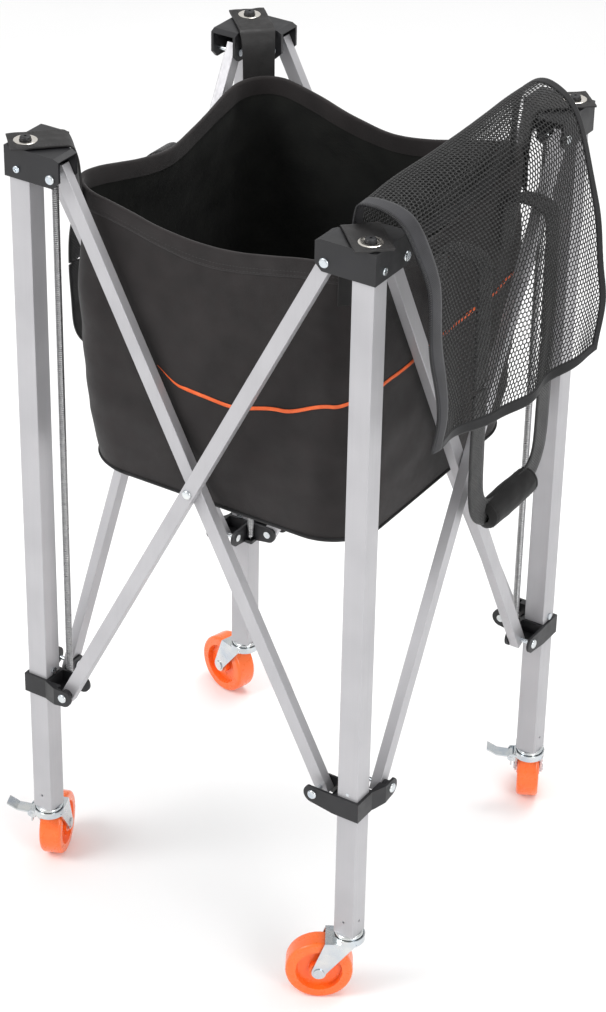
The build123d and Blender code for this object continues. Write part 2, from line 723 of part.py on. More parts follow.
os.makedirs("parts", exist_ok=True)
for quarter in range(4):
    write_corner(quarter)
    write_side(quarter)
write_bag()
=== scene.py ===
import json
import math
import bmesh
import bpy
from mathutils import Matrix, Vector, noise

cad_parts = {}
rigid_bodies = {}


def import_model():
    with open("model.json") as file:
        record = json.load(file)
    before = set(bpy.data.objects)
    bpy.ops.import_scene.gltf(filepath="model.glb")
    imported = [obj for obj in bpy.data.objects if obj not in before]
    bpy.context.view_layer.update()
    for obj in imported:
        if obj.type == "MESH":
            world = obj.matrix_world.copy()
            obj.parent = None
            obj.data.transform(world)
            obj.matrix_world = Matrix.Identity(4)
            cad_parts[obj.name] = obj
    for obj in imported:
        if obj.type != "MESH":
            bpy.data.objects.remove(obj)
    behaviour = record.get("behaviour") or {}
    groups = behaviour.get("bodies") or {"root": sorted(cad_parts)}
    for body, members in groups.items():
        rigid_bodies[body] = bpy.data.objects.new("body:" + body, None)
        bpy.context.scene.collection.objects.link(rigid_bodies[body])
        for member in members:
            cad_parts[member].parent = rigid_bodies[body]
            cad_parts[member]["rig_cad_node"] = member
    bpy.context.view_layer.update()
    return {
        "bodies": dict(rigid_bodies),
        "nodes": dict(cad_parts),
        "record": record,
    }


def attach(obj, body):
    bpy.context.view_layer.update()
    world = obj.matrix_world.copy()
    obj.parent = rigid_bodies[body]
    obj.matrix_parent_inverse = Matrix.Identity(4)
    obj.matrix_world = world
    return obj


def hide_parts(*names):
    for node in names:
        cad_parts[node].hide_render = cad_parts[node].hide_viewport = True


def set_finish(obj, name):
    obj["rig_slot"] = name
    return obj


# Folding ball trolley. Metres, same frame as the CAD: +Z up, floor at z = 0,
# the front pair of legs at -Y and the net lid over the +X side.

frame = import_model()

# Layout, repeated from the CAD
CORNERS = ("fl", "fr", "rr", "rl")
HALF = 0.206  # centre line to each leg's axis
BAG_BOTTOM = 0.545
BAG_RIM = 0.872
BAG_HALF = 0.184
RIGID_FROM = 0.171  # beyond this the cloth keeps its shape as the frame folds
TAB_Z = 0.9283  # middle of a tab where it lies on its bracket
TAB_W = 0.040
TAB_T = 0.0024
EYELET_R = 0.0072
HANDLE_X = 0.241
RIGHT_ENDS = (-0.035, 0.109)  # middles of the right handle's two strands
LEFT_ENDS = (-0.027, 0.077)
STRAP_W = 0.030
STRAP_T = 0.0024
GRIP_MIDDLE = (0.037, 0.535)  # along Y, and height
GRIP_HALF = 0.049

# Springs: distance from the leg's axis, coil, and where the stretch is measured
SPRING_AT = 0.0205
SPRING_LOW = 0.260
SPRING_HIGH = 0.898
SPRING_TURNS = 270
SPRING_WIRE_R = 0.0010
SPRING_R = 0.0040
STRETCH_TOP = 0.903
STRETCH_LOW = 0.261

# Camera
CAM_AT = (1.4869, -2.3612, 2.1640)
CAM_YAW = 32.09
CAM_PITCH = 31.41
CAM_ROLL = -1.11
CAM_FOCAL_PX = 2922.0
IMAGE_W = 606
IMAGE_H = 1012


# ---------------------------------------------------------------- materials

class Nodes:
    """Small helper that builds one material's node tree."""

    def __init__(self, name):
        self.material = bpy.data.materials.new(name)
        self.material.use_nodes = True
        self.tree = self.material.node_tree
        self.shader = self.tree.nodes["Principled BSDF"]

    def add(self, kind, **values):
        node = self.tree.nodes.new(kind)
        for key, value in values.items():
            setattr(node, key, value)
        return node

    def link(self, source, target):
        self.tree.links.new(source, target)

    def set(self, **values):
        for key, value in values.items():
            self.shader.inputs[key.replace("_", " ")].default_value = value

    def math(self, operation, first, second=None):
        node = self.add("ShaderNodeMath", operation=operation)
        for slot, value in enumerate((first, second)):
            if value is None:
                continue
            if isinstance(value, (int, float)):
                node.inputs[slot].default_value = value
            else:
                self.link(value, node.inputs[slot])
        return node.outputs[0]

    def coordinates(self):
        source = self.add("ShaderNodeTexCoord").outputs["Object"]
        split = self.add("ShaderNodeSeparateXYZ")
        self.link(source, split.inputs[0])
        return source, split.outputs

    def noise(self, scale, detail=3.0, stretch=(1, 1, 1)):
        source = self.add("ShaderNodeTexCoord").outputs["Object"]
        mapping = self.add("ShaderNodeMapping")
        mapping.inputs["Scale"].default_value = stretch
        self.link(source, mapping.inputs["Vector"])
        node = self.add("ShaderNodeTexNoise")
        node.inputs["Scale"].default_value = scale
        node.inputs["Detail"].default_value = detail
        self.link(mapping.outputs[0], node.inputs["Vector"])
        return node.outputs["Fac"]

    def ramp(self, source, low, high, start=0.3, end=0.7):
        node = self.add("ShaderNodeValToRGB")
        node.color_ramp.elements[0].position = start
        node.color_ramp.elements[1].position = end
        node.color_ramp.elements[0].color = low
        node.color_ramp.elements[1].color = high
        self.link(source, node.inputs[0])
        return node.outputs[0]

    def colour(self, source, low, high, start=0.3, end=0.7):
        result = self.ramp(source, (*low, 1), (*high, 1), start, end)
        self.link(result, self.shader.inputs["Base Color"])

    def roughness(self, source, low, high):
        result = self.ramp(source, (low, low, low, 1), (high, high, high, 1))
        self.link(result, self.shader.inputs["Roughness"])

    def bump(self, height, strength, distance):
        node = self.add("ShaderNodeBump")
        node.inputs["Strength"].default_value = strength
        node.inputs["Distance"].default_value = distance
        self.link(height, node.inputs["Height"])
        previous = self.shader.inputs["Normal"]
        if previous.is_linked:
            self.link(previous.links[0].from_socket, node.inputs["Normal"])
        self.link(node.outputs[0], previous)

    def weave(self, thread, strength, distance):
        """Plain weave of crossed threads; thread is the spacing in metres."""
        _, axes = self.coordinates()
        turns = math.pi / thread
        across = self.math("ADD", axes[0], axes[1])
        first = self.math("SINE", self.math("MULTIPLY", across, turns))
        second = self.math("SINE", self.math("MULTIPLY", axes[2], turns))
        height = self.math("MULTIPLY", first, second)
        self.bump(height, strength, distance)
        return height


def aluminium():
    m = Nodes("anodised_aluminium")
    m.set(Metallic=0.45)
    grain = m.noise(420, 2, (1, 1, 0.02))
    m.colour(m.noise(14, 2), (0.41, 0.405, 0.42), (0.46, 0.455, 0.47))
    m.roughness(grain, 0.38, 0.50)
    m.bump(grain, 0.06, 0.0002)
    return m.material


def moulding():
    m = Nodes("black_moulding")
    m.set(Roughness=0.5)
    m.shader.inputs["Specular IOR Level"].default_value = 0.45
    m.colour(m.noise(30, 3), (0.007, 0.007, 0.008), (0.012, 0.012, 0.014))
    m.roughness(m.noise(60, 4), 0.38, 0.55)
    m.bump(m.noise(1800, 2), 0.12, 0.0002)
    return m.material


def zinc():
    m = Nodes("zinc_steel")
    m.set(Metallic=1.0)
    m.colour(m.noise(60, 3), (0.52, 0.57, 0.62), (0.70, 0.71, 0.69))
    m.roughness(m.noise(90, 4), 0.16, 0.30)
    m.bump(m.noise(300, 3), 0.04, 0.0003)
    return m.material


def spring_steel():
    m = Nodes("spring_steel")
    m.set(Metallic=1.0)
    m.colour(m.noise(200, 3), (0.42, 0.42, 0.43), (0.58, 0.58, 0.58))
    m.roughness(m.noise(300, 3), 0.25, 0.40)
    return m.material


def orange():
    m = Nodes("orange_wheel")
    m.set(Subsurface_Weight=0.08, Subsurface_Radius=(0.004, 0.0015, 0.0008))
    m.shader.inputs["Coat Weight"].default_value = 0.25
    m.shader.inputs["Coat Roughness"].default_value = 0.15
    m.colour(m.noise(25, 3), (0.90, 0.125, 0.012), (0.94, 0.165, 0.022))
    m.roughness(m.noise(120, 4), 0.22, 0.38)
    m.bump(m.noise(500, 3), 0.05, 0.0003)
    return m.material


def cloth(name, low, high, thread=0.0007, sheen=0.25):
    m = Nodes(name)
    m.shader.inputs["Sheen Weight"].default_value = sheen * 0.5
    m.shader.inputs["Sheen Roughness"].default_value = 0.5
    m.shader.inputs["Specular IOR Level"].default_value = 0.25
    m.colour(m.noise(45, 5), low, high)
    m.roughness(m.noise(90, 3), 0.72, 0.9)
    m.weave(thread, 0.35, 0.0003)
    m.bump(m.noise(240, 5), 0.15, 0.0006)
    return m.material


def leather():
    m = Nodes("tab_leather")
    m.shader.inputs["Specular IOR Level"].default_value = 0.4
    m.colour(m.noise(70, 4), (0.008, 0.0075, 0.0075), (0.014, 0.013, 0.013))
    m.roughness(m.noise(90, 3), 0.45, 0.62)
    source = m.add("ShaderNodeTexCoord").outputs["Object"]
    cells = m.add("ShaderNodeTexVoronoi")
    cells.inputs["Scale"].default_value = 900
    m.link(source, cells.inputs["Vector"])
    m.bump(cells.outputs["Distance"], 0.3, 0.0003)
    return m.material


def webbing():
    m = Nodes("webbing")
    m.shader.inputs["Sheen Weight"].default_value = 0.15
    m.colour(m.noise(60, 4), (0.006, 0.006, 0.0065), (0.013, 0.0125, 0.013))
    m.roughness(m.noise(80, 3), 0.6, 0.8)
    m.weave(0.0018, 0.8, 0.0006)
    return m.material


def net_yarn():
    m = Nodes("net_yarn")
    m.shader.inputs["Sheen Weight"].default_value = 0.1
    m.colour(m.noise(200, 3), (0.004, 0.004, 0.004), (0.010, 0.010, 0.010))
    m.roughness(m.noise(200, 3), 0.55, 0.75)
    m.bump(m.noise(4000, 2), 0.3, 0.0002)
    return m.material


def nickel():
    m = Nodes("nickel")
    m.set(Metallic=1.0)
    m.colour(m.noise(150, 3), (0.70, 0.66, 0.60), (0.80, 0.77, 0.72))
    m.roughness(m.noise(200, 3), 0.15, 0.28)
    return m.material


def thread():
    m = Nodes("stitching")
    m.colour(m.noise(800, 2), (0.010, 0.009, 0.009), (0.034, 0.031, 0.031))
    m.roughness(m.noise(800, 2), 0.5, 0.7)
    m.bump(m.noise(5000, 2), 0.3, 0.0001)
    return m.material


def stripe_tape():
    m = Nodes("stripe_tape")
    m.colour(m.noise(120, 3), (0.72, 0.10, 0.015), (0.85, 0.145, 0.03))
    m.roughness(m.noise(150, 3), 0.5, 0.7)
    m.weave(0.0009, 0.4, 0.0002)
    return m.material


MATERIALS = {
    "anodised_aluminium": aluminium(),
    "black_moulding": moulding(),
    "zinc_steel": zinc(),
    "spring_steel": spring_steel(),
    "orange_wheel": orange(),
    "bag_cloth": cloth("bag_cloth", (0.012, 0.010, 0.010), (0.020, 0.0165, 0.0165)),
    "lining": cloth("lining", (0.005, 0.0055, 0.005), (0.011, 0.0115, 0.010), 0.0012, 0.08),
    "binding": cloth("binding", (0.009, 0.009, 0.0095), (0.018, 0.018, 0.019), 0.0012, 0.2),
    "zip_tape": cloth("zip_tape", (0.022, 0.022, 0.024), (0.038, 0.038, 0.042), 0.0010, 0.2),
    "grip_foam": cloth("grip_foam", (0.006, 0.006, 0.006), (0.013, 0.0125, 0.0125), 0.0016, 0.2),
    "tab_leather": leather(),
    "webbing": webbing(),
    "net": net_yarn(),
    "nickel": nickel(),
    "stitching": thread(),
    "stripe": stripe_tape(),
}


def paint(obj, slot, material=None):
    """Give an object its material and, for a new piece, the record's slot."""
    obj.data.materials.clear()
    obj.data.materials.append(MATERIALS[material or slot])
    if "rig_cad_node" not in obj:
        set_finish(obj, slot)
    return obj


# ------------------------------------------------------------- mesh helpers

def smooth(obj):
    obj.data.shade_smooth()
    return obj


def mesh_object(name, points, faces, slot, material=None):
    data = bpy.data.meshes.new(name)
    data.from_pydata([tuple(p) for p in points], [], faces)
    data.update()
    obj = bpy.data.objects.new(name, data)
    bpy.context.scene.collection.objects.link(obj)
    paint(obj, slot, material)
    return smooth(obj)


def grid_faces(rows, cols, wrap):
    faces = []
    for i in range(rows - 1):
        for j in range(cols if wrap else cols - 1):
            k = (j + 1) % cols
            faces.append((i * cols + j, i * cols + k, (i + 1) * cols + k, (i + 1) * cols + j))
    return faces


def grid_object(name, rows, cols, wrap, place, slot, material=None):
    """Surface from place(row share, column share)."""
    last = cols if wrap else cols - 1
    points = [place(i / (rows - 1), j / last) for i in range(rows) for j in range(cols)]
    return mesh_object(name, points, grid_faces(rows, cols, wrap), slot, material)


def thicken(obj, thickness, offset=0.0):
    modifier = obj.modifiers.new("thickness", "SOLIDIFY")
    modifier.thickness = thickness
    modifier.offset = offset
    return obj


def catmull(points, share):
    """Point on a smooth line through the given points, share 0 to 1."""
    position = share * (len(points) - 1)
    i = min(int(position), len(points) - 2)
    t = position - i
    p = [Vector(points[min(max(k, 0), len(points) - 1)]) for k in (i - 1, i, i + 1, i + 2)]
    return 0.5 * (2 * p[1] + (p[2] - p[0]) * t
                  + (2 * p[0] - 5 * p[1] + 4 * p[2] - p[3]) * t * t
                  + (3 * p[1] - p[0] - 3 * p[2] + p[3]) * t * t * t)


def strip_along(name, line, across, width, thickness, slot, material=None, steps=80):
    """Flat strap: line(share) is its middle and across(share) its width direction."""
    def place(i, j):
        return line(i) + across(i).normalized() * width * (j - 0.5)

    obj = grid_object(name, steps, 7, False, place, slot, material)
    return thicken(obj, thickness)


def tube_points(line, radius, steps, sides):
    """Rings of points around a line, with a steady side direction."""
    points = []
    for i in range(steps + 1):
        share = i / steps
        here = line(share)
        ahead = line(min(share + 1e-3, 1)) - line(max(share - 1e-3, 0))
        ahead.normalize()
        side = ahead.cross(Vector((0, 0, 1)))
        if side.length < 1e-3:
            side = ahead.cross(Vector((1, 0, 0)))
        side.normalize()
        up = side.cross(ahead)
        for j in range(sides):
            angle = 2 * math.pi * j / sides
            points.append(here + radius * (side * math.cos(angle) + up * math.sin(angle)))
    return points


def tube(name, line, radius, slot, material=None, steps=60, sides=8):
    points = tube_points(line, radius, steps, sides)
    faces = grid_faces(steps + 1, sides, True)
    faces.append(tuple(range(sides)))
    faces.append(tuple(steps * sides + j for j in range(sides)))
    return mesh_object(name, points, faces, slot, material)


def stitches(name, line, out, count, slot, length=0.0026, radius=0.00035, fill=0.62):
    """A row of short raised stitches along a line; out(share) is the surface normal."""
    points = []
    faces = []
    for i in range(count):
        middle = line((i + 0.5) / count)
        ahead = line(min((i + 0.5 + fill / 2) / count, 1)) - line(max((i + 0.5 - fill / 2) / count, 0))
        along = ahead.normalized() * min(length, ahead.length) / 2
        normal = out((i + 0.5) / count).normalized()
        side = along.cross(normal).normalized() * radius
        lift = normal * radius
        start = len(points)
        points += [middle - along, middle - along * 0.6 + side, middle - along * 0.6 + lift,
                   middle - along * 0.6 - side, middle + along * 0.6 + side,
                   middle + along * 0.6 + lift, middle + along * 0.6 - side, middle + along]
        for quad in ((0, 1, 2), (0, 2, 3), (1, 4, 5, 2), (2, 5, 6, 3), (4, 7, 5), (5, 7, 6)):
            faces.append(tuple(start + k for k in quad))
    return mesh_object(name, points, faces, slot, "stitching")


def join(name, objects):
    """One object from several of the same material."""
    points = []
    faces = []
    for obj in objects:
        start = len(points)
        points += [obj.matrix_world @ v.co for v in obj.data.vertices]
        faces += [tuple(start + k for k in p.vertices) for p in obj.data.polygons]
    material = objects[0].data.materials[0]
    slot = objects[0].get("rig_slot")
    for obj in objects:
        bpy.data.objects.remove(obj)
    data = bpy.data.meshes.new(name)
    data.from_pydata(points, [], faces)
    data.materials.append(material)
    result = bpy.data.objects.new(name, data)
    bpy.context.scene.collection.objects.link(result)
    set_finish(result, slot)
    return smooth(result)


# ------------------------------------------------- cloth that follows a fold

def follower(body, leg):
    """Empty on a body that also shifts by as much as a leg has moved."""
    empty = bpy.data.objects.new("follow_" + body + "_" + leg, None)
    bpy.context.scene.collection.objects.link(empty)
    empty.parent = frame["bodies"][body]
    shift = empty.constraints.new("COPY_LOCATION")
    shift.target = frame["bodies"]["leg_assembly_" + leg]
    shift.use_offset = True
    return empty


FOLLOWERS = {body: [follower(body, leg) for leg in CORNERS[1:]] for body in ("bag", "lid")}


def corner_weights(x, y):
    """How much a point belongs to each of the three moving legs; corners stay rigid."""
    u = min(max((x + RIGID_FROM) / (2 * RIGID_FROM), 0.0), 1.0)
    v = min(max((y + RIGID_FROM) / (2 * RIGID_FROM), 0.0), 1.0)
    return u * (1 - v), u * v, (1 - u) * v


def gather(obj, body):
    """Let a bag piece draw in as the legs come together."""
    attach(obj, body)
    tags = CORNERS[1:]
    groups = [obj.vertex_groups.new(name="fold_" + tag) for tag in tags]
    for vertex in obj.data.vertices:
        for group, weight in zip(groups, corner_weights(vertex.co.x, vertex.co.y)):
            group.add([vertex.index], weight, "REPLACE")
    for tag, empty in zip(tags, FOLLOWERS[body]):
        hook = obj.modifiers.new("fold_" + tag, "HOOK")
        hook.object = empty
        hook.vertex_group = "fold_" + tag
        hook.matrix_inverse = Matrix.Identity(4)
        obj.modifiers.move(len(obj.modifiers) - 1, 0)
    return obj


# --------------------------------------------------------------------- bag

AROUND = 320  # points round the bag
RIM_CORNER_RISE = 0.005
RIM_DROOP = 0.026
WALL_HALF = 0.1795
LINING_IN = 0.0022
WALL_START = BAG_BOTTOM + 0.004


def ring_point(share, half, radius):
    """Point and outward normal on a rounded square, share 0 to 1 anticlockwise."""
    straight = 2 * (half - radius)
    arc = math.pi * radius / 2
    side = straight + arc
    distance = (share % 1.0) * 4 * side
    quarter = int(distance / side) % 4
    along = distance - quarter * side
    middle = half - radius
    if along <= straight:
        x, y, nx, ny = -middle + along, -half, 0.0, -1.0
    else:
        angle = (along - straight) / radius
        nx, ny = math.sin(angle), -math.cos(angle)
        x, y = middle + radius * nx, -middle + radius * ny
    for _ in range(quarter):
        x, y = -y, x
        nx, ny = -ny, nx
    return x, y, nx, ny


def midness(share):
    """1 at the middle of a side and 0 at a corner."""
    x, y, _, _ = ring_point(share, 1.0, 0.3)
    return max(0.0, 1 - min(abs(x), abs(y)) / 0.9)


def rim_height(share):
    """The rim droops between the four tabs that carry it."""
    m = midness(share)
    return BAG_RIM + RIM_CORNER_RISE - RIM_DROOP * m * m * (3 - 2 * m)


def folds(x, y, z, height):
    """Soft wrinkles: creases that fan out from each tab, broad drapes, small ones."""
    run = BAG_HALF - min(abs(x), abs(y))
    drop = BAG_RIM + 0.02 - z
    reach = math.hypot(run, drop)
    fan = math.sin(math.atan2(drop, run + 0.02) * 11 + 4 * noise.noise(Vector((x * 7, y * 7, 1))))
    fan *= math.exp(-((reach - 0.12) / 0.075) ** 2)
    drape = noise.noise(Vector((x * 8, y * 8, z * 4 + 4.0)))
    slack = noise.noise(Vector((x * 12 + 7, y * 12, z * 26))) * (1 - height) * min(1.0, height * 5)
    crease = noise.noise(Vector((x * 30 + 3, y * 30, z * 22)))
    return 0.0019 * fan + 0.0045 * drape + 0.0042 * slack + 0.0011 * crease


def bag_point(share, height, inset=0.0):
    """Point on the bag's wall, height 0 at the bottom edge and 1 at the rim."""
    m = midness(share)
    half = WALL_HALF + 0.0035 * math.sin(math.pi * min(1.0, height * 1.15)) - 0.006 * (1 - height) ** 6
    radius = 0.060 - 0.015 * height
    x, y, nx, ny = ring_point(share, half, radius)
    bow = 0.0030 * math.sin(math.pi * height) * m - 0.007 * max(0.0, height - 0.8) * 5 * m
    z = WALL_START + height * (rim_height(share) - WALL_START)
    out = bow + folds(x, y, z, height) * min(1.0, height * 6) - inset
    return Vector((x + nx * out, y + ny * out, z))


def bag_wall(i, j):
    return bag_point(j, i)


def bag_inner(i, j):
    """Lining, just inside the wall."""
    return bag_point(j, 0.005 + i * 0.995, LINING_IN)


def bag_base(i, j):
    """Bottom panel from its edge to its middle, sagging a little."""
    edge = bag_point(j, 0.0)
    shrink = 1 - i
    sag = 0.006 * math.sin(math.pi / 2 * i)
    round_in = 0.004 * (1 - (1 - min(1.0, i * 12)) ** 2)
    crease = 0.0012 * noise.noise(Vector((edge.x * shrink * 20, edge.y * shrink * 20, 1)))
    z = edge.z - round_in - sag + crease * i
    return Vector((edge.x * shrink, edge.y * shrink, z))


def bag_base_inner(i, j):
    point = bag_base(i, j)
    return Vector((point.x * 0.985, point.y * 0.985, point.z + 0.0028))


def hem_line(drop, proud):
    """Line that runs round the bag a fixed distance below the rim."""
    def place(share):
        height = 1 - drop / (rim_height(share) - BAG_BOTTOM)
        return bag_point(share, height, -proud)

    return place


def ring_normal(share):
    """Outward direction round the bag."""
    _, _, nx, ny = ring_point(share, BAG_HALF, 0.05)
    return Vector((nx, ny, 0))


def build_shell():
    wall = grid_object("bag_shell", 84, AROUND, True, bag_wall, "bag_cloth")
    base = grid_object("bag_base", 26, AROUND, True, bag_base, "bag_cloth")
    lining = grid_object("bag_lining", 60, AROUND, True, bag_inner, "bag_cloth", "lining")
    floor = grid_object("bag_lining_floor", 26, AROUND, True, bag_base_inner, "bag_cloth", "lining")
    return [wall, base, lining, floor]


# Drop below the rim and distance out from the wall, over the folded hem
HEM_SECTION = ((0.0215, 0.0003), (0.0210, 0.0010), (0.0180, 0.0013), (0.0100, 0.0014),
               (0.0020, 0.0015), (-0.0004, 0.0010), (-0.0012, -0.0010), (-0.0004, -0.0032),
               (0.0020, -0.0037), (0.0120, -0.0036), (0.0200, -0.0034))
HEM_ROWS = ((0.0185, 0.0014), (0.0140, 0.0015))
HEM_STITCHES = 330


def hem_band(i, j):
    """Folded hem: outer face, rounded top edge and inner face."""
    drop, proud = HEM_SECTION[round(i * (len(HEM_SECTION) - 1))]
    return hem_line(drop, proud)(j)


def build_hem():
    band = grid_object("bag_hem", len(HEM_SECTION), AROUND, True, hem_band, "bag_cloth")
    rows = [stitches("hem_row", hem_line(drop, proud), ring_normal, HEM_STITCHES, "bag_cloth")
            for drop, proud in HEM_ROWS]
    return [band, join("bag_hem_stitching", rows)]


def base_seam(share):
    return bag_point(share, 0.012, -0.0006)


def build_base_piping():
    return [tube("bag_base_piping", base_seam, 0.0016, "bag_cloth", "binding", AROUND, 8)]


STRIPE_W = 0.0042
STRIPE_FROM = 0.052
STRIPE_TO = 0.452
STRIPE_FRONT = ((-0.130, 0.734), (-0.080, 0.712), (-0.030, 0.690), (0.030, 0.686),
                (0.090, 0.698), (0.150, 0.718), (0.184, 0.730))
STRIPE_RIGHT = ((-0.184, 0.730), (-0.120, 0.736), (-0.040, 0.740), (0.060, 0.744), (0.150, 0.750))


def stripe_height(x, y):
    """Height of the stripe on the front and right-hand faces."""
    front = abs(y) >= abs(x) or x < 0
    knots = STRIPE_FRONT if front else STRIPE_RIGHT
    value = x if front else y
    for (x0, z0), (x1, z1) in zip(knots, knots[1:]):
        if value <= x1:
            t = max(0.0, (value - x0) / (x1 - x0))
            t = t * t * (3 - 2 * t)
            return z0 + (z1 - z0) * t
    return knots[-1][1]


def stripe_point(i, j):
    """The tape narrows to nothing at its start and nearly so at its end."""
    share = STRIPE_FROM + (STRIPE_TO - STRIPE_FROM) * i
    x, y, _, _ = ring_point(share, BAG_HALF, 0.05)
    taper = min(1.0, i * 14, (1 - i) * 14 + 0.15)
    z = stripe_height(x, y) + (j - 0.5) * STRIPE_W * taper
    height = (z - WALL_START) / (rim_height(share) - WALL_START)
    return bag_point(share, height, -0.0006)


def build_stripe():
    stripe = grid_object("bag_stripe", 260, 4, False, stripe_point, "bag_cloth", "stripe")
    return [thicken(stripe, 0.0006)]


# -------------------------------------------------------------------- tabs

def tab_frame(index):
    """Turns corner coordinates (inward, sideways, up) into the object's frame."""
    turn = Matrix.Rotation(math.radians(90 * index), 4, "Z")
    move = Matrix.Translation((-HALF, -HALF, 0))
    return turn @ move @ Matrix.Rotation(math.radians(45), 4, "Z")


TAB_PATH = ((-0.0178, 0, 0.9281), (0.012, 0, 0.9283), (0.034, 0, 0.9284), (0.0445, 0, 0.9262),
            (0.0505, 0, 0.9130), (0.0530, 0, 0.8900), (0.0538, 0, 0.8650), (0.0538, 0, 0.8350))


def tab_line(share):
    return catmull(TAB_PATH, share)


def tab_point(i, j):
    centre = tab_line(i)
    width = TAB_W - 0.004 * min(1.0, max(0.0, (centre.x - 0.045) / 0.008))
    dip = 0.0006 * noise.noise(Vector((centre.x * 60, j * 4, centre.z * 40)))
    return Vector((centre.x, (j - 0.5) * width, centre.z + dip))


def eyelet_hole(obj):
    """Cut the post's hole out of a tab by dropping the faces inside it."""
    work = bmesh.new()
    work.from_mesh(obj.data)
    middles = [(face, face.calc_center_median()) for face in work.faces]
    inside = [face for face, middle in middles
              if middle.xy.length < EYELET_R and middle.z > TAB_Z - 0.008]
    bmesh.ops.delete(work, geom=inside, context="FACES")
    work.to_mesh(obj.data)
    work.free()


def build_tab(index):
    strap = grid_object("tab_strap", 150, 41, False, tab_point, "tab_leather")
    eyelet_hole(strap)
    thicken(strap, TAB_T)
    edge = strap.modifiers.new("edge", "BEVEL")
    edge.width = 0.0006
    edge.segments = 2
    edge.limit_method = "ANGLE"
    strap.data.transform(tab_frame(index))
    strap.name = "bag_tab_" + CORNERS[index]
    return strap


# Stitch rows on a tab, as start, end and number of stitches: two across its end, one along each edge
TAB_ROWS = (((-0.0140, -0.0170, 0.9296), (-0.0140, 0.0170, 0.9296), 9),
            ((-0.0118, -0.0170, 0.9296), (-0.0118, 0.0170, 0.9296), 9),
            ((-0.0140, 0.0172, 0.9297), (0.0380, 0.0172, 0.9297), 14),
            ((-0.0140, -0.0172, 0.9297), (0.0380, -0.0172, 0.9297), 14))


def straight(start, end):
    """Line for stitches from one point to another."""
    first = Vector(start)
    last = Vector(end)
    return lambda share: first.lerp(last, share)


def facing(x, y, z):
    """The same surface normal all along a row of stitches."""
    return lambda share: Vector((x, y, z))


def build_tab_stitching(index):
    rows = [stitches("tab_row", straight(start, end), facing(0, 0, 1), count, "tab_leather")
            for start, end, count in TAB_ROWS]
    rows = join("tab_stitching_" + CORNERS[index], rows)
    rows.data.transform(tab_frame(index))
    return rows


# Radius and height round the section of an eyelet
GROMMET_SECTION = ((0.0066, 0.9264), (0.0066, 0.9298), (0.0072, 0.9301), (0.0112, 0.9301),
                   (0.0120, 0.9300), (0.0125, 0.9297), (0.0125, 0.92935), (0.0076, 0.92932),
                   (0.0076, 0.92688), (0.0125, 0.92685), (0.0125, 0.9263), (0.0120, 0.9261),
                   (0.0070, 0.9261))


def build_grommet(index):
    """Eyelet clamped on a tab, turned from its closed section."""
    sides = 48
    rows = len(GROMMET_SECTION)
    turns = [2 * math.pi * k / sides for k in range(sides)]
    points = [(r * math.cos(a), r * math.sin(a), z) for r, z in GROMMET_SECTION for a in turns]
    faces = grid_faces(rows, sides, True)
    last = (rows - 1) * sides
    faces += [(last + j, last + (j + 1) % sides, (j + 1) % sides, j) for j in range(sides)]
    ring = mesh_object("bag_grommet_" + CORNERS[index], points, faces, "nickel")
    ring.data.set_sharp_from_angle(angle=math.radians(40))
    ring.data.transform(tab_frame(index))
    return ring


# ----------------------------------------------------------------- handles

# Distance out from the centre line and height, down one strand; then distance in from the
# strand and height, round the bottom corner
RIGHT_DROP = ((0.1862, 0.792), (0.1864, 0.826), (0.1890, 0.846), (0.2050, 0.8530), (0.2270, 0.8505),
              (0.2385, 0.836), (0.2400, 0.780), (0.2410, 0.700), (0.2410, 0.620))
RIGHT_LOW = ((0.004, 0.565), (0.024, 0.541), (0.055, 0.5355))
LEFT_DROP = ((0.1862, 0.792), (0.1864, 0.822), (0.1900, 0.836), (0.2020, 0.834), (0.2170, 0.820),
             (0.2320, 0.798), (0.2400, 0.768), (0.2420, 0.730), (0.2400, 0.690))
LEFT_LOW = ((0.004, 0.655), (0.020, 0.634), (0.045, 0.627))


def handle_line(near, far, drop, low):
    """Control points of one loop: down one strand, along the bottom and up again."""
    out = drop[-1][0]
    down = [(x, near, z) for x, z in drop] + [(out, near + step, z) for step, z in low]
    up = [(out, far - step, z) for step, z in reversed(low)] + [(x, far, z) for x, z in reversed(drop)]
    return down + up


def build_handle(name, near, far, drop, low, turn):
    points = handle_line(near, far, drop, low)
    flat = (len(drop) - 2) / (len(points) - 1)

    def line(share):
        return catmull(points, share)

    def across(share):
        if share < flat or share > 1 - flat:
            return Vector((0, 1 if share < 0.5 else -1, 0))
        ahead = line(min(share + 0.004, 1)) - line(max(share - 0.004, 0))
        return ahead.cross(Vector((1, 0, 0)))

    def blend_across(share):
        total = Vector((0, 0, 0))
        for k in range(-4, 5):
            total += across(min(max(share + k * 0.006, 0), 1)).normalized()
        return total

    width = STRAP_W - 0.001
    thickness = STRAP_T - 0.0006
    strap = strip_along(name, line, blend_across, width, thickness, "webbing", None, 220)
    strap.data.transform(Matrix.Rotation(turn, 4, "Z"))
    return strap


PATCH_X = 0.1879
PATCH_CORNERS = ((-0.012, 0.795), (0.012, 0.795), (0.012, 0.819), (-0.012, 0.819))
PATCH_PAIRS = ((0, 1), (1, 2), (2, 3), (3, 0), (0, 2), (1, 3))


def patch_rows(turn, label, ends):
    """Stitched box and cross on each sewn end of a handle."""
    rows = []
    for end in ends:
        corners = [(PATCH_X, end + dy, z) for dy, z in PATCH_CORNERS]
        for a, b in PATCH_PAIRS:
            line = straight(corners[a], corners[b])
            rows.append(stitches("patch_row", line, facing(1, 0, 0), 7, "webbing"))
    rows = join("handle_stitching_" + label, rows)
    rows.data.transform(Matrix.Rotation(turn, 4, "Z"))
    return rows


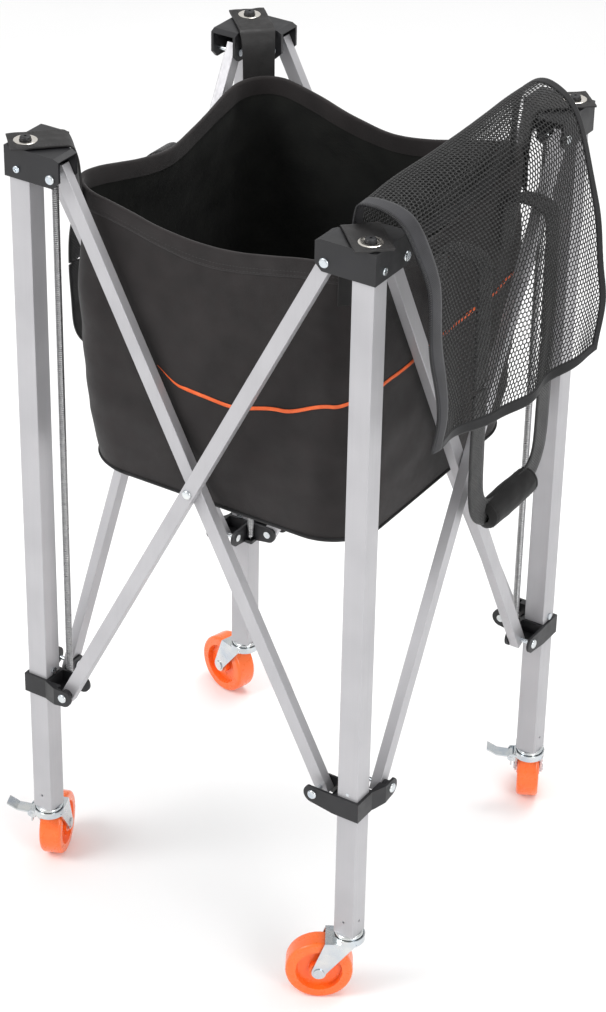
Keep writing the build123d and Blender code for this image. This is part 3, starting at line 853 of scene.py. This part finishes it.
def grip_point(i, j):
    """Padded wrap: crowned in the middle, drawn in at its ends, lapped along one side."""
    y = GRIP_MIDDLE[0] + (2 * i - 1) * GRIP_HALF
    ends = abs(2 * i - 1)
    radius = 0.0158 * (1 - 0.55 * max(0.0, ends - 0.93) / 0.07) + 0.0006 * math.cos(math.pi * ends)
    angle = 2 * math.pi * j
    lap = 0.0012 * max(0.0, 1 - abs(j - 0.30) * 30)
    dimple = 0.0007 * noise.noise(Vector((math.cos(angle) * 3, y * 60, math.sin(angle) * 3)))
    seam = -0.0012 * max(0.0, 1 - abs(ends - 0.86) * 40)
    r = radius + lap + dimple + seam
    x = HANDLE_X + 0.0005 + r * 0.92 * math.cos(angle)
    return Vector((x, y, GRIP_MIDDLE[1] + r * math.sin(angle)))


def grip_ring(y):
    """Line of stitches round the grip, and its outward direction."""
    def line(share):
        angle = 2 * math.pi * share
        return Vector((HANDLE_X + 0.0152 * math.cos(angle), y,
                       GRIP_MIDDLE[1] + 0.0163 * math.sin(angle)))

    def out(share):
        angle = 2 * math.pi * share
        return Vector((math.cos(angle), 0, math.sin(angle)))

    return line, out


def build_grip():
    grip = grid_object("grip_wrap", 60, 48, True, grip_point, "grip_foam")
    rows = []
    for y in (-0.0055, 0.0795):
        line, out = grip_ring(y)
        rows.append(stitches("grip_row", line, out, 24, "grip_foam"))
    return [grip, join("grip_stitching", rows)]


# --------------------------------------------------------------------- lid

# Three lines over the lid, from the rim over the top and down the outside
LID_NEAR = ((0.1585, -0.1585, 0.866), (0.1590, -0.1620, 0.905), (0.1640, -0.1670, 0.935),
            (0.1760, -0.1760, 0.9490), (0.2050, -0.1820, 0.9520), (0.2280, -0.1850, 0.9450),
            (0.2410, -0.1830, 0.925), (0.2510, -0.1800, 0.885), (0.2570, -0.1810, 0.830),
            (0.2610, -0.1790, 0.780), (0.2640, -0.1740, 0.735), (0.2620, -0.1780, 0.704))
LID_MID = ((0.1740, -0.020, 0.862), (0.1680, -0.020, 0.905), (0.1660, -0.020, 0.936),
           (0.1750, -0.018, 0.9540), (0.2040, -0.012, 0.9600), (0.2300, -0.006, 0.9520),
           (0.2470, 0.000, 0.922), (0.2570, 0.004, 0.870), (0.2620, 0.006, 0.815),
           (0.2680, 0.002, 0.765), (0.2750, -0.010, 0.722), (0.2800, -0.026, 0.688))
LID_FAR = ((0.1730, 0.144, 0.867), (0.1690, 0.149, 0.915), (0.1720, 0.151, 0.948),
           (0.1850, 0.152, 0.9650), (0.2060, 0.152, 0.9690), (0.2320, 0.150, 0.9560),
           (0.2500, 0.146, 0.926), (0.2680, 0.141, 0.870), (0.2820, 0.137, 0.815),
           (0.2900, 0.132, 0.765), (0.2930, 0.125, 0.728), (0.2930, 0.118, 0.698))


def even_steps(points, steps=120):
    """Shares at equal distances along a smooth line, as a lookup."""
    spots = [catmull(points, i / steps) for i in range(steps + 1)]
    travelled = [0.0]
    for before, after in zip(spots, spots[1:]):
        travelled.append(travelled[-1] + (after - before).length)
    return [d / travelled[-1] for d in travelled]


LID_STEPS = even_steps(LID_MID)


def lid_share(v):
    """Turn an even share of the lid's length into a share of its control points."""
    last = len(LID_STEPS) - 1
    for i in range(last):
        if v <= LID_STEPS[i + 1]:
            gap = LID_STEPS[i + 1] - LID_STEPS[i]
            return (i + (v - LID_STEPS[i]) / gap) / last
    return 1.0


def lid_point(u, v):
    """u from the near edge to the far edge, v from the rim over and down."""
    share = lid_share(v)
    near, middle, far = (catmull(line, share) for line in (LID_NEAR, LID_MID, LID_FAR))
    point = near * (1 - u) * (1 - 2 * u) + middle * 4 * u * (1 - u) + far * u * (2 * u - 1)
    hang = min(1.0, max(0.0, v - 0.40) * 2.5)
    ripple = (0.0045 * math.sin(u * 12 + v * 2) + 0.0025 * math.sin(u * 23 + 1)) * hang
    crease = 0.0040 * noise.noise(Vector((u * 4, v * 5, 2.5)))
    edge = 0.0030 * math.sin(v * 24) * hang * max(0.0, abs(2 * u - 1) - 0.7) / 0.3
    return point + Vector((ripple + crease, edge, 0.3 * crease))


HEXAGON = ((0, -2 / 3), (0.5, -1 / 3), (0.5, 1 / 3), (0, 2 / 3), (-0.5, 1 / 3), (-0.5, -1 / 3))
NET_COLUMNS = 60
NET_ROWS = 92
YARN = 0.0017


def net_cells(columns, rows):
    """Honeycomb drawn on the lid's surface, as one mesh of six-sided cells."""
    index = {}
    points = []
    faces = []

    def vertex(a, b):
        key = (round(a * 2000), round(b * 2000))
        if key not in index:
            index[key] = len(points)
            points.append(lid_point(min(max(a, 0), 1), min(max(b, 0), 1)))
        return index[key]

    step_u = 1 / columns
    step_v = 1 / rows
    for r in range(rows + 1):
        for c in range(columns):
            u = (c + 0.5 * (r % 2)) * step_u
            v = r * step_v
            cell = [vertex(u + du * step_u, v + dv * step_v) for du, dv in HEXAGON]
            if len(set(cell)) == len(HEXAGON):
                faces.append(cell)
    return points, faces


def build_net():
    points, faces = net_cells(NET_COLUMNS, NET_ROWS)
    net = mesh_object("lid_net", points, faces, "net")
    wire = net.modifiers.new("yarn", "WIREFRAME")
    wire.thickness = YARN
    wire.use_even_offset = False
    wire.use_boundary = True
    return net


def lid_band(start, end, inward):
    """Place points on a band along one edge; inward is its width as a share of the lid."""
    def place(i, j):
        u = start[0] + (end[0] - start[0]) * i + inward[0] * j
        v = start[1] + (end[1] - start[1]) * i + inward[1] * j
        return lid_point(min(max(u, 0), 1), min(max(v, 0), 1))

    return place


BINDING_T = 0.0022
# Start, end, width inward and number of rows of the far, outer and sewn edges
BINDING_EDGES = (((1, 0), (1, 1), (-0.030, 0), 120),
                 ((0, 1), (1, 1), (0, -0.026), 100),
                 ((0, 0), (1, 0), (0, 0.035), 100))


def build_binding():
    bands = []
    for start, end, inward, steps in BINDING_EDGES:
        place = lid_band(start, end, inward)
        bands.append(grid_object("lid_band", steps, 7, False, place, "net", "binding"))
    binding = join("lid_binding", bands)
    return thicken(binding, BINDING_T)


def build_zip_tape():
    """Wider tape along the near edge, which carries the zip's teeth."""
    place = lid_band((0, 0), (0, 1), (0.052, 0))
    tape = grid_object("lid_zip_tape", 140, 7, False, place, "net", "zip_tape")
    return thicken(tape, BINDING_T)


def lid_out(u, v):
    """Outward direction of the lid's surface."""
    e = 0.01
    du = lid_point(min(u + e, 1), v) - lid_point(max(u - e, 0), v)
    dv = lid_point(u, min(v + e, 1)) - lid_point(u, max(v - e, 0))
    return du.cross(dv).normalized()


TEETH = 190
TOOTH_REACH = 0.0016
TOOTH_HALF = 0.00065
TOOTH_RISE = 0.0011
BOX_SIGNS = [(a, b, c) for a in (-1, 1) for b in (-1, 1) for c in (-1, 1)]
BOX_FACES = ((0, 1, 3, 2), (4, 6, 7, 5), (0, 4, 5, 1), (2, 3, 7, 6), (0, 2, 6, 4), (1, 5, 7, 3))


def build_zip():
    """Zip teeth down the near edge of the lid."""
    points = []
    faces = []
    for i in range(TEETH):
        v = 0.01 + 0.98 * (i + 0.5) / TEETH
        ahead = lid_point(0.0, min(v + 0.004, 1)) - lid_point(0.0, max(v - 0.004, 0))
        along = ahead.normalized()
        normal = lid_out(0.004, v)
        side = along.cross(normal)
        middle = lid_point(0.0, v) - side * 0.0006
        start = len(points)
        for a, b, c in BOX_SIGNS:
            points.append(middle + side * TOOTH_REACH * a + along * TOOTH_HALF * b + normal * TOOTH_RISE * c)
        faces += [tuple(start + k for k in quad) for quad in BOX_FACES]
    return mesh_object("lid_zip_teeth", points, faces, "net", "black_moulding")


# Start, end and number of stitches: two rows on the zip tape, one on the far and outer edges
LID_ROWS = (((0.046, 0), (0.046, 1), 150), ((0.014, 0.02), (0.014, 0.98), 150),
            ((0.976, 0), (0.976, 1), 150), ((0.03, 0.980), (0.97, 0.980), 90))


def lid_row(start, end):
    """Line of stitches just above the lid's surface, and its outward direction."""
    def out(share):
        return lid_out(start[0] + (end[0] - start[0]) * share, start[1] + (end[1] - start[1]) * share)

    def line(share):
        u = start[0] + (end[0] - start[0]) * share
        v = start[1] + (end[1] - start[1]) * share
        return lid_point(u, v) + out(share) * 0.0012

    return line, out


def build_lid_stitching():
    rows = []
    for start, end, count in LID_ROWS:
        line, out = lid_row(start, end)
        rows.append(stitches("lid_row", line, out, count, "net"))
    return join("lid_stitching", rows)


# ----------------------------------------------------------------- springs

# Bottom, top and radius of the short tubes at a spring's ends: wire, knot and cap of each
SPRING_ENDS = ((0.2500, 0.2605, 0.0008), (0.2491, 0.2505, 0.0021),
               (0.8975, 0.9080, 0.0008), (0.9074, 0.9089, 0.0021),
               (0.2595, 0.2620, 0.0030), (0.8960, 0.8985, 0.0030))


def build_coil():
    """Wire wound round the Z axis."""
    steps = 16
    sides = 6
    total = SPRING_TURNS * steps
    points = []
    for i in range(total + 1):
        angle = 2 * math.pi * i / steps
        z = SPRING_LOW + (SPRING_HIGH - SPRING_LOW) * i / total
        radial = Vector((math.cos(angle), math.sin(angle), 0))
        for j in range(sides):
            a = 2 * math.pi * j / sides
            out = SPRING_R - SPRING_WIRE_R + SPRING_WIRE_R * math.cos(a)
            points.append(radial * out + Vector((0, 0, z + SPRING_WIRE_R * math.sin(a))))
    return mesh_object("coil", points, grid_faces(total + 1, sides, True), "spring_steel")


def build_spring_end(low, high, radius):
    line = straight((0, 0, low), (0, 0, high))
    return tube("hook", line, radius, "spring_steel", None, 3, 8)


def build_spring(index):
    """Closed coil with a straight end each way, stretched as its slider drops."""
    tag = CORNERS[index]
    ends = [build_spring_end(*end) for end in SPRING_ENDS]
    spring = join("spring_coil_" + tag, [build_coil()] + ends)
    inward = -HALF + SPRING_AT
    turn = Matrix.Rotation(math.radians(90 * index), 4, "Z")
    spring.data.transform(turn @ Matrix.Translation((inward, inward, 0)))
    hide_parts("spring_" + tag)
    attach(spring, "leg_assembly_" + tag)
    group = spring.vertex_groups.new(name="stretch")
    for vertex in spring.data.vertices:
        share = (STRETCH_TOP - vertex.co.z) / (STRETCH_TOP - STRETCH_LOW)
        group.add([vertex.index], min(max(share, 0.0), 1.0), "REPLACE")
    hook = spring.modifiers.new("stretch", "HOOK")
    hook.object = frame["bodies"]["slider_unit_" + tag]
    hook.vertex_group = "stretch"
    hook.matrix_inverse = Matrix.Identity(4)
    return spring


# ---------------------------------------------------------------- assembly

def paint_nodes():
    """Give every carried-over CAD node the material of its slot."""
    slots = {s["node"]: s["material_slot"] for s in frame["record"]["subparts"]}
    for name, obj in frame["nodes"].items():
        if slots[name] in MATERIALS:
            paint(obj, slots[name])


def build_bag():
    shell = build_shell() + build_hem() + build_base_piping() + build_stripe()
    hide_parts("bag_body")
    tabs = [build_tab(i) for i in range(4)]
    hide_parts("bag_tabs")
    eyelets = [build_grommet(i) for i in range(4)]
    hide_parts("bag_grommets")
    rows = [build_tab_stitching(i) for i in range(4)]
    handles = [build_handle("handle_right", *RIGHT_ENDS, RIGHT_DROP, RIGHT_LOW, 0.0),
               build_handle("handle_left", *LEFT_ENDS, LEFT_DROP, LEFT_LOW, math.pi)]
    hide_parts("bag_handles")
    patches = [patch_rows(0.0, "right", RIGHT_ENDS), patch_rows(math.pi, "left", LEFT_ENDS)]
    grip = build_grip()
    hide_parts("handle_grip")
    for piece in shell + tabs + eyelets + rows + handles + patches + grip:
        gather(piece, "bag")


def build_lid():
    net = build_net()
    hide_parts("bag_lid")
    sewn = [build_binding(), build_zip_tape(), build_zip(), build_lid_stitching()]
    for piece in [net] + sewn:
        gather(piece, "lid")


def build_stage():
    """Plain pale floor."""
    size = 6.0
    corners = [(-size, -size, 0), (size, -size, 0), (size, size, 0), (-size, size, 0)]
    data = bpy.data.meshes.new("floor")
    data.from_pydata(corners, [], [(0, 1, 2, 3)])
    floor = bpy.data.objects.new("floor", data)
    bpy.context.scene.collection.objects.link(floor)
    m = Nodes("floor")
    m.colour(m.noise(2, 2), (0.90, 0.90, 0.90), (0.93, 0.93, 0.93))
    m.set(Roughness=0.8)
    floor.data.materials.append(m.material)


def area_light(name, place, target, size, power):
    data = bpy.data.lights.new(name, "AREA")
    data.shape = "DISK"
    data.size = size
    data.energy = power
    lamp = bpy.data.objects.new(name, data)
    bpy.context.scene.collection.objects.link(lamp)
    lamp.location = place
    aim = Vector(target) - Vector(place)
    lamp.rotation_euler = aim.to_track_quat("-Z", "Y").to_euler()


def build_light():
    world = bpy.data.worlds.new("studio")
    bpy.context.scene.world = world
    world.use_nodes = True
    background = world.node_tree.nodes["Background"]
    background.inputs["Color"].default_value = (1.0, 1.0, 1.0, 1)
    background.inputs["Strength"].default_value = 0.80
    area_light("key", (-1.6, -2.4, 2.8), (0, 0, 0.5), 1.8, 62)
    area_light("fill", (2.8, -1.2, 1.6), (0, 0, 0.5), 1.6, 34)
    area_light("top", (0.3, 0.8, 3.2), (0, 0, 0.4), 1.6, 40)


def build_camera():
    data = bpy.data.cameras.new("camera")
    data.sensor_fit = "VERTICAL"
    data.sensor_height = 36.0
    data.lens = CAM_FOCAL_PX / IMAGE_H * 36.0
    data.clip_end = 50
    camera = bpy.data.objects.new("camera", data)
    bpy.context.scene.collection.objects.link(camera)
    # The camera starts looking straight down, so pitch counts from the horizon
    pitch = Matrix.Rotation(math.radians(90 - CAM_PITCH), 4, "X")
    yaw = Matrix.Rotation(math.radians(CAM_YAW), 4, "Z")
    roll = Matrix.Rotation(math.radians(-CAM_ROLL), 4, "Z")
    camera.matrix_world = Matrix.Translation(CAM_AT) @ yaw @ pitch @ roll
    bpy.context.scene.camera = camera


paint_nodes()
build_bag()
build_lid()
for corner in range(4):
    build_spring(corner)
build_stage()
build_light()
build_camera()
bpy.context.scene.view_settings.view_transform = "Standard"
